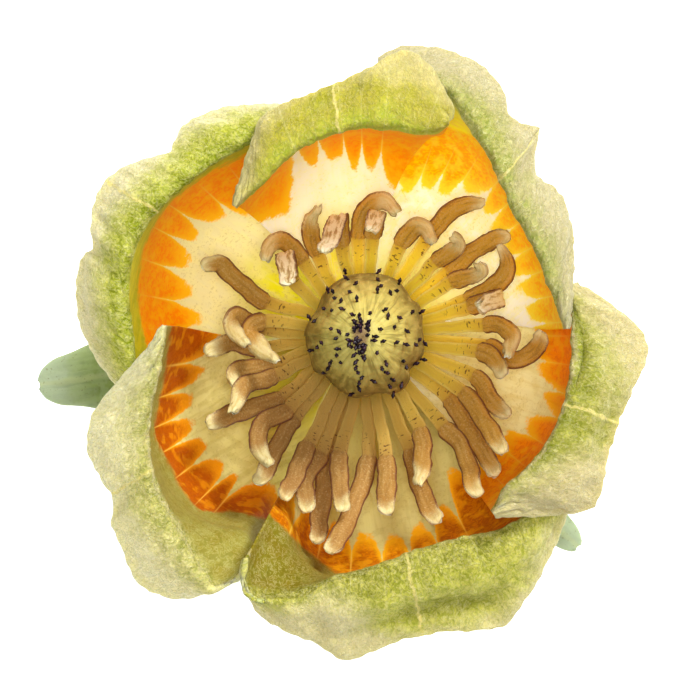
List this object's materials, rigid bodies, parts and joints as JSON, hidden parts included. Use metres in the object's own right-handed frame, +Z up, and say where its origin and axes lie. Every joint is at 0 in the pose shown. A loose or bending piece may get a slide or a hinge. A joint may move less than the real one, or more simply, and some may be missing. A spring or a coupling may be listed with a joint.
{
  "type": "tulip tree flower",
  "caption": "Tulip tree blossom: green-tipped petals with an orange band cupped round a ring of strap-like stamens and a dotted green pistil, on a short cut stalk.",
  "frame": {"origin": "middle of the flower's footprint on the surface it stands on, at the height of the stalk's cut end and the sepal tips", "axes": "+Z up along the flower's own axis, +Y towards petal_top, +X towards petal_right"},
  "size_m": [0.0611, 0.0614, 0.049],
  "materials": {
    "petal": "satin",
    "sepal": "satin",
    "stamen": "matte",
    "pistil": "satin",
    "stalk": "matte"
  },
  "bodies": {
    "root": {"stalk": "stalk", "pistil": "pistil", "sepal_left": "sepal", "sepal_right": "sepal", "sepal_back": "sepal", "petal_top": "petal", "petal_upper_right": "petal", "petal_right": "petal", "petal_bottom": "petal", "petal_lower_left": "petal", "petal_upper_left": "petal", "stamen_01": "stamen", "stamen_02": "stamen", "stamen_03": "stamen", "stamen_04": "stamen", "stamen_05": "stamen", "stamen_06": "stamen", "stamen_07": "stamen", "stamen_08": "stamen", "stamen_09": "stamen", "stamen_10": "stamen", "stamen_11": "stamen", "stamen_12": "stamen", "stamen_13": "stamen", "stamen_14": "stamen", "stamen_15": "stamen", "stamen_16": "stamen", "stamen_17": "stamen", "stamen_18": "stamen", "stamen_19": "stamen", "stamen_20": "stamen", "stamen_21": "stamen", "stamen_22": "stamen", "stamen_23": "stamen", "stamen_24": "stamen", "stamen_25": "stamen", "stamen_26": "stamen", "stamen_27": "stamen", "stamen_28": "stamen", "stamen_29": "stamen", "stamen_30": "stamen", "stamen_31": "stamen", "stamen_32": "stamen", "stamen_33": "stamen", "stamen_34": "stamen", "stamen_35": "stamen", "stamen_36": "stamen", "stamen_37": "stamen"}
  },
  "joints": []
}
